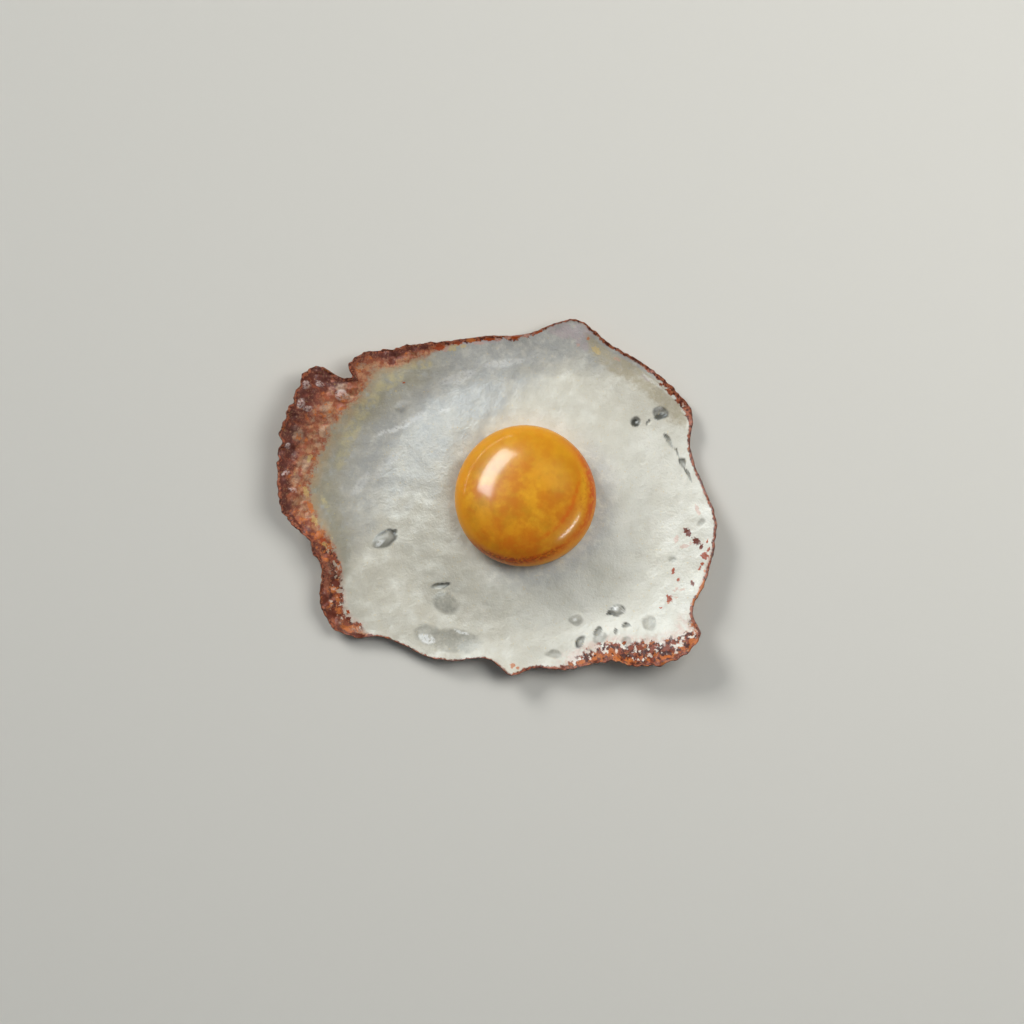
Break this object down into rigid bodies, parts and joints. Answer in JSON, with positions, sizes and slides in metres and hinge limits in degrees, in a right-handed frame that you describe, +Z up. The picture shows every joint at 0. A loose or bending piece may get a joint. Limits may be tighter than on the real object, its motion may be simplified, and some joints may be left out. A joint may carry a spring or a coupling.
{
  "type": "fried egg",
  "caption": "Sunny-side-up fried egg: a domed yolk seated in an uneven set white with a curled, browned and craggy rim.",
  "frame": {"origin": "middle of the egg's footprint box, on the surface it lies on", "axes": "+X along the egg's long way, towards the side nearer the yolk; +Y across it, towards the rim with the notch; +Z up"},
  "size_m": [0.1225, 0.0992, 0.0198],
  "materials": {
    "set_white": "set egg white, slightly wet and translucent, browned and crisp at the rim",
    "yolk_amber": "soft glossy orange-yellow yolk"
  },
  "bodies": {
    "root": {"egg_white": "set_white", "yolk": "yolk_amber"}
  },
  "joints": []
}
